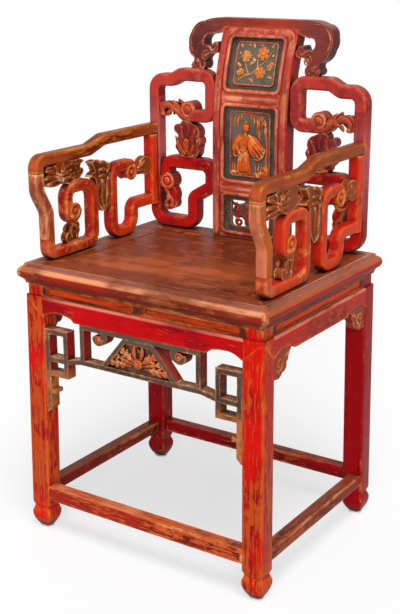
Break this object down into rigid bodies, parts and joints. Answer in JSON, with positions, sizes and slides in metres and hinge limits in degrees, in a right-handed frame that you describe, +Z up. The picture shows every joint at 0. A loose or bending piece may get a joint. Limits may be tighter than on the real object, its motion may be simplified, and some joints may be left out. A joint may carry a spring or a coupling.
{
  "type": "official hat chair",
  "caption": "Lacquered East Asian armchair with a stepped openwork back, carved panels and fretwork, on four straight legs joined by stretchers.",
  "frame": {"origin": "on the floor, under the middle of the whole chair's width and depth", "axes": "+Z up, -Y towards the front of the seat, +X to the left of a person who sits in the chair"},
  "size_m": [0.5302, 0.4561, 0.9545],
  "materials": {
    "red_lacquer": "worn gloss lacquer",
    "orange_lacquer": "worn gloss lacquer",
    "seat_lacquer": "satin lacquer",
    "panel_paint": "aged painted carving",
    "worn_fretwork": "worn dark lacquer",
    "glide_plastic": "matte"
  },
  "bodies": {
    "root": {"crest_rail": "red_lacquer", "figure_panel": "panel_paint", "foot_glides": "glide_plastic", "fret_centre": "worn_fretwork", "fret_left_scroll": "worn_fretwork", "fret_lower_bar": "worn_fretwork", "fret_right_scroll": "worn_fretwork", "fret_upper_frame": "worn_fretwork", "front_apron": "red_lacquer", "front_left_leg": "red_lacquer", "front_right_leg": "red_lacquer", "front_seat_rail": "red_lacquer", "front_stretcher": "red_lacquer", "front_waist": "red_lacquer", "left_apron": "red_lacquer", "left_arm_front_loop": "red_lacquer", "left_arm_front_post": "red_lacquer", "left_arm_leaves": "orange_lacquer", "left_arm_rear_loop": "red_lacquer", "left_arm_rear_upright": "red_lacquer", "left_arm_top_rail": "orange_lacquer", "left_flank_bud": "red_lacquer", "left_flank_lower_loop": "red_lacquer", "left_flank_post": "red_lacquer", "left_flank_upper_loop": "red_lacquer", "left_seat_rail": "red_lacquer", "left_stretcher": "red_lacquer", "left_waist": "red_lacquer", "lower_panel": "panel_paint", "rear_apron": "red_lacquer", "rear_left_leg": "red_lacquer", "rear_right_leg": "red_lacquer", "rear_seat_rail": "red_lacquer", "rear_stretcher": "red_lacquer", "rear_waist": "red_lacquer", "right_apron": "red_lacquer", "right_arm_front_loop": "red_lacquer", "right_arm_front_post": "red_lacquer", "right_arm_leaves": "orange_lacquer", "right_arm_rear_loop": "red_lacquer", "right_arm_rear_upright": "red_lacquer", "right_arm_top_rail": "orange_lacquer", "right_flank_bud": "red_lacquer", "right_flank_lower_loop": "red_lacquer", "right_flank_post": "red_lacquer", "right_flank_upper_loop": "red_lacquer", "right_seat_rail": "red_lacquer", "right_stretcher": "red_lacquer", "right_waist": "red_lacquer", "seat_batten": "seat_lacquer", "seat_board": "seat_lacquer", "side_brackets": "red_lacquer", "splat_foot_rail": "red_lacquer", "splat_left_stile": "red_lacquer", "splat_lower_rail": "red_lacquer", "splat_right_stile": "red_lacquer", "splat_top_rail": "red_lacquer", "splat_upper_rail": "red_lacquer", "upper_panel": "panel_paint"}
  },
  "joints": []
}
